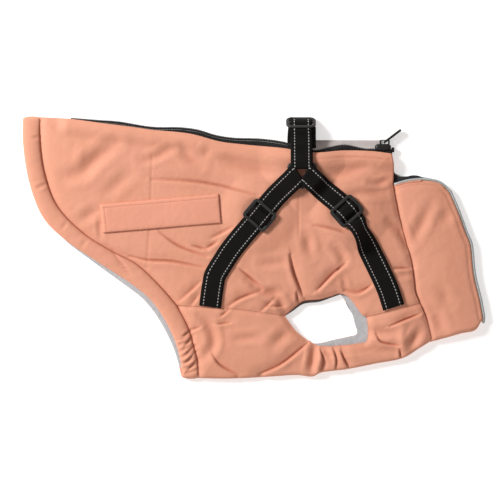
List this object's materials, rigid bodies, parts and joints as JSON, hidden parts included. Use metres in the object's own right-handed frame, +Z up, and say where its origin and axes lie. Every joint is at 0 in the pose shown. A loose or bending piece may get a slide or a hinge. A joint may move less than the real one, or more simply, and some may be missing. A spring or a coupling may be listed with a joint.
{
  "type": "dog winter coat",
  "caption": "Padded dog winter coat with a built-in webbing harness, back zip, piped collar and pocket flap, lying flat on its side.",
  "frame": {"origin": "centre of the coat's outline on the surface it lies on", "axes": "+X from the tail edge to the collar, +Y from the belly fold to the back, +Z up from the surface"},
  "size_m": [0.4208, 0.2392, 0.0201],
  "materials": {
    "shell_fabric": "matte",
    "flap_fabric": "matte",
    "lining_fleece": "matte",
    "collar_fleece": "matte",
    "guard_fabric": "matte",
    "piping": "satin",
    "webbing": "matte",
    "plastic": "satin",
    "zip_tape": "matte",
    "zip_coil": "satin",
    "zip_metal": "satin"
  },
  "bodies": {
    "coat": {"side_panel_near": "shell_fabric", "side_panel_far": "shell_fabric", "belly_panel": "shell_fabric", "leg_lining": "lining_fleece", "hem_casing": "shell_fabric", "hem_facing": "lining_fleece", "pocket_flap": "flap_fabric", "collar_shell": "shell_fabric", "collar_lining": "collar_fleece", "collar_piping": "piping", "zip_tape_near": "zip_tape", "zip_tape_far": "zip_tape", "zip_coil": "zip_coil", "zip_slider": "zip_metal", "zip_bridge": "zip_metal", "zip_stop": "zip_metal", "zip_guard": "guard_fabric", "ring_near": "plastic", "ring_far": "plastic", "strap_rear_near": "webbing", "strap_front_near": "webbing", "strap_rear_far": "webbing", "strap_front_far": "webbing", "glide_rear_near": "plastic", "glide_front_near": "plastic", "glide_rear_far": "plastic", "glide_front_far": "plastic", "back_strap": "webbing", "back_strap_end": "webbing", "top_slider": "plastic"},
    "pull_tab": {"zip_pull": "zip_metal"}
  },
  "joints": [
    {"name": "pull_tab_swing", "type": "hinge", "parent": "coat", "child": "pull_tab", "pos_m": [0.11895, 0.09605, 0.00415], "axis": [0, 0, 1], "range_deg": [-37, 142]}
  ]
}
